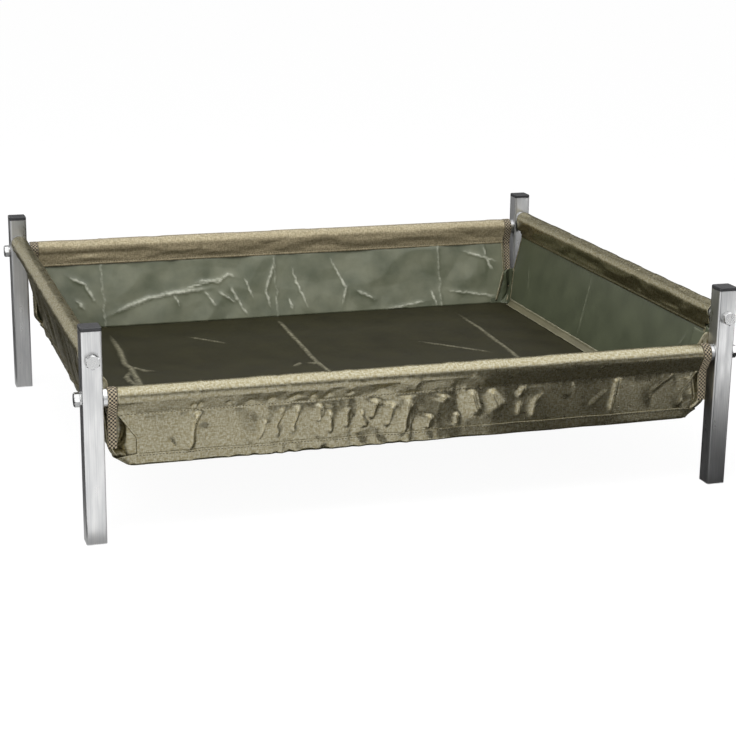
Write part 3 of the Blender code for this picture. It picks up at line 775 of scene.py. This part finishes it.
def corner_surface(side, depth, pleated=True):
    """Rows of points over a corner piece, gathered in pleats towards its top, and its outward directions."""
    across, up = 97, 49
    rows = np.array(corner_rows(depth))
    middle = (rows[1] * 0.62 + rows[2] * 0.38)[None]
    rows = np.concatenate([rows[:2], middle, rows[2:]])
    points = np.swapaxes(eased(np.swapaxes(eased(rows, up), 0, 1), across), 0, 1)
    share, height = np.meshgrid(np.linspace(0, 1, across), np.linspace(0, 1, up))
    outward = np.cross(np.gradient(points, axis=0), np.gradient(points, axis=1))
    outward /= np.linalg.norm(outward, axis=2)[..., None]
    pleats = np.zeros_like(share)
    recess = (0.2, -15.0, 0.085) if (side, depth) == (LEFT, FRONT) else (0.2, -6.0, 0.05)
    for place, deep, wide in (recess, (0.36, 1.8, 0.03), (0.5, 1.6, 0.03), (0.62, 1.4, 0.025)):
        pleats += deep * MM * bell(share - place - 0.04 * (height - 0.5), wide)
    pleats = np.where(pleats > 0, smooth(height / 0.6), smooth(height / 0.3)) * pleats
    pleats *= smooth((1 - height) / 0.1 + 0.4) * pleated
    pleats += 0.8 * MM * swelled(share, height, 0.22, 31 + side + 3 * depth) * smooth(height / 0.5)
    pleats *= smooth(share / 0.14) * smooth((1 - share) / 0.14)
    return points + outward * pleats[..., None], outward, share, height


def add_corner(name, side, depth, materials):
    """A corner piece: cloth folded round the corner of the tray."""
    points, _, share, height = corner_surface(side, depth)
    points = points * np.array([side, depth, 1])
    if side * depth > 0:
        points = points[:, ::-1]
    flat = (share * CORNER_WIDTH, height * CORNER_HEIGHT)
    piece = cloth_grid(name + "_cloth", points, flat, materials, 0.5 * bell(1 - height, 0.03))
    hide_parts(name)


# Hem, tapes and straps


def hem_along_wall(wall, way, reach, lift, tuck):
    """The hem's points beside a wall."""
    half = wall.leg_face - FOOT_INSET - 2 * MM
    along = np.linspace(-half, half, math.ceil(2 * half / (2.4 * MM)) + 1)
    points = wall.at(along, np.full_like(along, reach), lift)
    if np.dot(points[0], way) > np.dot(points[-1], way):
        points = points[::-1]
    points[:, :2] += wall.inwards() * tuck
    return points


def hem_round_corner(side, depth, reversed_way, reach, lift, tuck):
    """The hem's points over a corner piece, where the band rides up a little."""
    surface, outward, _, _ = corner_surface(side, depth, pleated=False)
    surface, outward = surface[:, 16:-16:3], outward[:, 16:-16:3]
    if reversed_way:
        surface, outward = surface[:, ::-1], outward[:, ::-1]
    bump = 6 * MM * np.sin(np.linspace(0, 1, surface.shape[1]) * math.pi)
    turn = []
    for column in range(surface.shape[1]):
        line = surface[:, column]
        place = np.interp(reach + bump[column], walked(line), np.arange(len(line)))
        low = int(place)
        point = line[low] + (line[low + 1] - line[low]) * (place - low)
        turn.append(point + outward[low, column] * (lift + 1.6 * MM))
    turn = np.array(turn) * [side, depth, 1]
    turn[:, :2] -= tuck * np.array([side, depth]) * 0.7
    return turn


def hem_points(rows):
    """The hem band's loop of points at each (reach, lift, tuck), eased where it goes over the corners."""
    loops = []
    for row in rows:
        runs = []
        for name, way, side, depth in HEM_ROUND:
            runs.append(hem_along_wall(WALLS[name], way, *row))
            runs.append(hem_round_corner(side, depth, not WALLS[name].cross, *row))
        loops.append(np.concatenate(runs))
    loops = np.array(loops)
    free = np.concatenate([np.full(len(run), float(turn % 2)) for turn, run in enumerate(runs)])
    for _ in range(3):
        free = np.maximum(free, 0.5 * (np.roll(free, 1) + np.roll(free, -1)) * 0.9)
    for _ in range(2):
        mean = 0.5 * (np.roll(loops, 1, axis=1) + np.roll(loops, -1, axis=1))
        loops = loops + (mean - loops) * 0.6 * free[None, :, None]
    return loops


def add_hem(materials):
    """The floor's edge, turned up outside the walls and sewn to them."""
    rows = [(0, 0, 8), (0, 0, 4.5), (0, 0, 2), (0, 0.35, 0.8), (0.4, 0.7, 0), (1.4, 0.85, 0),
            (3.5, 0.85, 0), (6, 0.85, 0), (9, 0.85, 0), (11.5, 0.85, 0), (12.6, 1.0, 0), (13, 0.9, 0)]
    below_floor = np.array([2.6, 2.4, 2.0, 1.2, 0.5])
    loops = hem_points(np.array(rows) * MM)
    loops[:len(below_floor), :, 2] -= below_floor[:, None] * MM
    loops = np.concatenate([loops, loops[:, :1]], axis=1)
    run, rise = walked(loops[5]), walked(loops[:, 0])
    piece = cloth_grid("floor_hem", loops, np.meshgrid(run, rise), materials, closed=True)


def add_seam_tape(wall, materials):
    """Tape over the seam between a wall and the floor, inside: half on each, with a raised edge that is
    lightened as a painted highlight.
    """
    half = wall.leg_face - FOOT_INSET - 4 * MM
    share, up = grid_of(-half, half, 3 * MM, 0, 1, 1 / 12)
    reach = np.maximum(up - 0.42, 0) * 15 * MM
    points = wall.at(share, reach, -0.9 * MM)
    on_floor = np.maximum(0.5 - up, 0) * TAPE_WIDTH
    edge = bell(np.minimum(up, 1 - up), 0.12)
    round_over = 1.6 * MM * bell(up - 0.46, 0.2)
    points[..., :2] += (on_floor + round_over)[..., None] * wall.inwards()
    points[..., 2] += 0.3 * MM + 0.5 * MM * edge + round_over
    points[..., 2] += 0.4 * MM * swelled(share, up * 0, 0.02, wall.seed + 40)
    # The wear given along the raised edges lightens them: a painted highlight.
    piece = cloth_grid(wall.name + "_seam_tape", points, (share, up * TAPE_WIDTH), materials, 0.8 * edge)


def add_binding(wall, end, materials):
    """A strip of cloth folded round a wall's slanted end, from its foot to the sleeve."""
    up, round_edge = np.meshgrid(np.linspace(3 * MM, wall.web - MM, 36), np.linspace(-1, 1, 13))
    from_edge = 4 * MM * np.abs(round_edge) - 0.6 * MM
    lift = np.sign(round_edge) * 0.85 * MM * smooth(np.abs(round_edge) / 0.3)
    along = end * (wall.half_length(up) - from_edge)
    points = wall.at(along, up, lift)
    if end < 0:
        points = points[::-1]
    name = "%s_end_binding_%s" % (wall.name, "high" if end > 0 else "low")
    flat = (round_edge * BINDING_WIDTH / 2, up)
    piece = cloth_grid(name, points, flat, materials, 0.25 * np.ones_like(up), thickness=0.5 * MM)


def add_strap(name, depth, webbing):
    """Webbing looped over the rail beside the leg and sewn down onto the corner piece."""
    low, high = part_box(name)
    wall = CROSS_WALLS[depth]
    corner_y = max(y for _, y, _ in corner_rows(depth)[1])
    lean = max(wall.axis - corner_y - 1.5 * MM, 0.0)
    line, places = resampled(wall_line(wall.rail_z - (WALL_FOOT_Z + STRAP_FOOT), lean), 0.7 * MM)
    across, reach = np.meshgrid(np.linspace(low.x, high.x, 19), places)
    ribs = np.abs(np.sin(across / (1.5 * MM) * math.pi)) * np.abs(np.sin(reach / (1.5 * MM) * math.pi))
    edge = 0.3 * MM * bell(np.minimum(across - low.x, high.x - across), 0.8 * MM)
    raised = 0.35 * MM * ribs - edge
    outward = square_to(line)
    out = line[:, :1] + outward[:, :1] * raised
    up = line[:, 1:] + outward[:, 1:] * raised
    points = np.stack([across, depth * (wall.axis + out), wall.rail_z + up], axis=-1)
    if depth > 0:
        points = points[:, ::-1]
    piece = cloth_grid(name + "_webbing", points, (across, reach), [webbing], thickness=1.1 * MM)
    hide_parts(name)


def add_stitches(wall, thread):
    """Beads of thread in lines: two that close a wall's sleeve, seen from both sides, and one in the hem."""
    half = wall.leg_face - WEB_INSET - 2 * MM
    lift = CLOTH / 2 + 0.15 * MM
    hem_half = wall.leg_face - FOOT_INSET - 3 * MM
    hem_lift = 0.85 * MM + CLOTH / 2 + 0.15 * MM
    lines = [(wall.web, lift, half), (wall.total - SLEEVE_HEM, lift, half),
             (HEM_HEIGHT - 2.5 * MM, hem_lift, hem_half)]
    bm = bmesh.new()
    bmesh.ops.create_uvsphere(bm, u_segments=6, v_segments=4, radius=0.5)
    for face in bm.faces:
        face.smooth = True
    bead = bpy.data.meshes.new("bead")
    bm.to_mesh(bead)
    bm.clear()
    for reach, lift, half in lines:
        along = np.arange(-half, half, STITCH_PITCH)
        points = wall.at(along, np.full_like(along, reach), lift)
        for here, there in zip(points, points[1:]):
            way = Vector(there - here)
            turn = way.to_track_quat("X", "Z").to_matrix().to_4x4()
            size = Matrix.Diagonal((way.length * 0.66, 0.75 * MM, 0.65 * MM, 1.0))
            place = Matrix.Translation(Vector((here + there) / 2)) @ turn @ size
            bead.transform(place)
            bm.from_mesh(bead)
            bead.transform(place.inverted())
    bpy.data.meshes.remove(bead)
    piece = mesh_object(wall.name + "_stitches", bm, [thread])
    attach(piece, "root")


# Studio


def add_camera():
    camera = bpy.data.cameras.new("camera")
    camera.lens = CAMERA_LENS
    camera.sensor_width = 36
    camera.clip_end = 100
    holder = bpy.data.objects.new("camera", camera)
    turn = (Matrix.Rotation(math.radians(CAMERA_YAW), 4, "Z")
            @ Matrix.Rotation(math.radians(90 - CAMERA_PITCH), 4, "X")
            @ Matrix.Rotation(math.radians(CAMERA_ROLL), 4, "Z"))
    holder.matrix_world = Matrix.Translation(CAMERA_PLACE) @ turn
    bpy.context.scene.collection.objects.link(holder)
    bpy.context.scene.camera = holder


def emptied_tree(owner):
    """The node tree of a material or world, with none of its usual nodes."""
    owner.use_nodes = True
    owner.node_tree.nodes.clear()
    return owner.node_tree


def seen_directly(tree):
    """1 for what the camera sees straight on, in a reflection or through something clear."""
    path = node(tree, "ShaderNodeLightPath").outputs
    mirror = combined(path["Is Camera Ray"], path["Is Glossy Ray"], "MAXIMUM")
    return combined(mirror, path["Is Transmission Ray"], "MAXIMUM")


def add_world():
    """Soft light from all round, white where it is seen directly."""
    world = bpy.data.worlds.new("studio")
    bpy.context.scene.world = world
    tree = emptied_tree(world)
    soft = node(tree, "ShaderNodeBackground", {"Color": (1, 1, 1, 1), "Strength": AMBIENT})
    white = node(tree, "ShaderNodeBackground", {"Color": (1, 1, 1, 1), "Strength": 1.0})
    share = seen_directly(tree)
    both = node(tree, "ShaderNodeMixShader", {0: share, 1: soft.outputs[0], 2: white.outputs[0]})
    node(tree, "ShaderNodeOutputWorld", {"Surface": both.outputs[0]})


def flat_card(name, centre, size, upright=False):
    """A flat rectangle for the studio: level, or standing and facing the front."""
    bm = bmesh.new()
    shape = Matrix.Diagonal((size[0], size[1], 1, 1))
    turn = Matrix.Rotation(math.radians(90), 4, "X") if upright else Matrix.Identity(4)
    place = Matrix.Translation(centre) @ turn @ shape
    bmesh.ops.create_grid(bm, x_segments=1, y_segments=1, size=0.5, matrix=place)
    card = mesh_object(name, bm)
    return card


def add_floor_stage():
    """A white floor that keeps a soft shadow."""
    ground = flat_card("studio_floor", (0, 0, 0), (FLOOR_SIZE, FLOOR_SIZE))
    material = bpy.data.materials.new("white_studio_floor")
    tree = emptied_tree(material)
    lit = node(tree, "ShaderNodeBsdfDiffuse", {"Color": (0.9, 0.9, 0.9, 1)})
    glow = node(tree, "ShaderNodeEmission", {"Color": (1, 1, 1, 1), "Strength": 1.05})
    share = combined(seen_directly(tree), FLOOR_GLOW, "MULTIPLY")
    both = node(tree, "ShaderNodeMixShader", {0: share, 1: lit.outputs[0], 2: glow.outputs[0]})
    node(tree, "ShaderNodeOutputMaterial", {"Surface": both.outputs[0]})
    ground.data.materials.append(material)


def add_reflected_cards():
    """Cards that only reflections see, as painted reflections: dark ones for dark sides of cloth and tube and
    for the bed's shadow on the floor, light ones as painted highlights on tops.
    """
    low, high = MM, 1.5 * MM
    level = [
        # Painted shadow: the floor under the bed, dark where reflections see it.
        ("card_under_bed", (1.4, 1.25, low), (3.2, 3.3), DARK),
        ("card_left_of_bed", (-1.75, 1.25, low), (2.6, 3.3), DARK),
        ("card_beside_left_legs", (-0.325, 1.25, low), (0.25, 3.3), 0.4),
        ("card_front_right", (0.87, -0.57, high), (1.5, 0.38), 0.045),
        ("card_front_middle", (0.345, -1.055, high), (0.45, 0.59), DARK),
        ("card_far_front_right", (0.87, -2.325, 1.2 * MM), (1.5, 2.35), DARK),
        ("light_front_right", (0.96, -0.92, 1.7 * MM), (0.56, 0.28), 3.0),
        ("card_overhead", (0, 0, 3.4), (9.0, 9.0), DARK),
        ("light_overhead", (1.3, -0.9, 2.4), (3.4, 6.6), 2.0),
    ]
    standing = [
        ("card_behind", (1.95, 3.0, 0.65), (4.6, 1.3), DARK),
        ("card_behind_high", (1.95, 3.0, 2.6), (4.6, 1.7), DARK),
        ("card_in_front", (2.25, -4.2, 0.65), (4.9, 1.3), DARK),
    ]
    for upright, cards in ((False, level), (True, standing)):
        for name, centre, size, brightness in cards:
            card = flat_card(name, centre, size, upright)
            material = bpy.data.materials.new("reflector_" + name)
            tree = emptied_tree(material)
            dim = node(tree, "ShaderNodeEmission", {"Color": (1, 1, 1, 1), "Strength": brightness})
            node(tree, "ShaderNodeOutputMaterial", {"Surface": dim.outputs[0]})
            card.data.materials.append(material)
            for ray in ("camera", "diffuse", "transmission", "volume_scatter", "shadow"):
                setattr(card, "visible_" + ray, False)


def softbox(name, place, target, size, power, mirrored=True):
    """A soft light aimed at a point, unseen by the camera and, if not mirrored, in reflections."""
    light = bpy.data.lights.new(name, "AREA")
    light.shape = "RECTANGLE"
    light.size, light.size_y = size
    light.energy = power
    holder = bpy.data.objects.new(name, light)
    aim = Vector(target) - Vector(place)
    holder.matrix_world = Matrix.Translation(place) @ aim.to_track_quat("-Z", "Y").to_matrix().to_4x4()
    holder.visible_camera = False
    holder.visible_glossy = mirrored
    bpy.context.scene.collection.objects.link(holder)


def dress_frame():
    """Gives every steel and plastic node of the frame its finish."""
    tube = {axis: zinc_tube("drawn_zinc_tube_" + axis.lower(), axis) for axis in "XYZ"}
    fastener = zinc_fastener()
    plastic = cap_plastic()
    coats = {"leg": tube["Z"], "cap": plastic, "rail_front": tube["X"], "rail_back": tube["X"],
             "rail_left": tube["Y"], "rail_right": tube["Y"]}
    for name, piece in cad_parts.items():
        piece.data.materials.clear()
        piece.data.materials.append(coats.get(name, coats.get(name.split("_")[0], fastener)))


def main():
    add_camera()
    add_world()
    add_floor_stage()
    add_reflected_cards()
    softbox("overhead_softbox", (-1.15, -0.8, 2.4), (-0.5, -0.4, 0), (2.0, 3.8), 46)
    softbox("tray_light", (-0.3, -0.7, 1.6), (0, 0.3, 0.12), (0.9, 0.9), 16, mirrored=False)
    softbox("front_left_fill", (-1.15, -1.6, 0.65), (-0.3, -0.35, 0.13), (0.8, 0.8), 9, mirrored=False)
    dress_frame()
    outer = woven_cloth("olive_woven_polyester", "#15130b", "#3d3927", 2.45)
    # Lighter copy of the woven side, for the back wall and its sleeve: painted light.
    lit_outer = woven_cloth("lit_olive_woven_polyester", "#81775f", "#9f9378", 1.6)
    inner = coated_cloth("olive_coated_polyester", "#434836", "#555b45", 0.42, "#a3a490")
    # Darker copy of the coated side, for the right wall, the bindings at its ends and most corner linings:
    # painted shade.
    shaded_inner = coated_cloth("smooth_olive_coated_polyester", "#3b402f", "#4a4f3b", 0.42, "#8f917d")
    # Lighter copy of the coated side, for the back wall: painted light, and its creases whiten further as
    # painted highlight.
    lit_creased_inner = coated_cloth("creased_olive_coated_polyester", "#4c513f", "#6d6f5b", 0.4, "#c4c5b4")
    # The floor's own brown olive coated side, darkened further as painted shade.
    shaded_floor_top = coated_cloth("brown_olive_coated_floor", "#201e0d", "#2a2815", 0.6, "#8a8670", 1.28)
    tape = coated_cloth("olive_seam_tape", "#56533f", "#67634c", 0.5, "#a19d88")
    thread = sewing_thread()
    webbing = strap_webbing()
    for side, wall in WALLS.items():
        finishes = {"back": [lit_outer, lit_creased_inner], "right": [outer, shaded_inner]}.get(side, [outer, inner])
        add_wall(wall, FRONT_CELL if side == "front" else WALL_CELL, finishes)
        if not wall.cross:
            add_seam_tape(wall, [tape, tape])
        add_stitches(wall, thread)
        for end in (-1, 1):
            add_binding(wall, end, [outer, shaded_inner if side == "right" else tape])
    add_floor([shaded_floor_top, outer])
    add_hem([outer, outer])
    for side_name, side in SIDES.items():
        for depth_name, depth in DEPTHS.items():
            corner = depth_name + "_" + side_name
            lining = tape if corner == "front_left" else shaded_inner
            add_corner("gusset_" + corner, side, depth, [outer, lining])
            add_strap("strap_" + corner, depth, webbing)


main()
bpy.context.scene.view_settings.view_transform = "Standard"
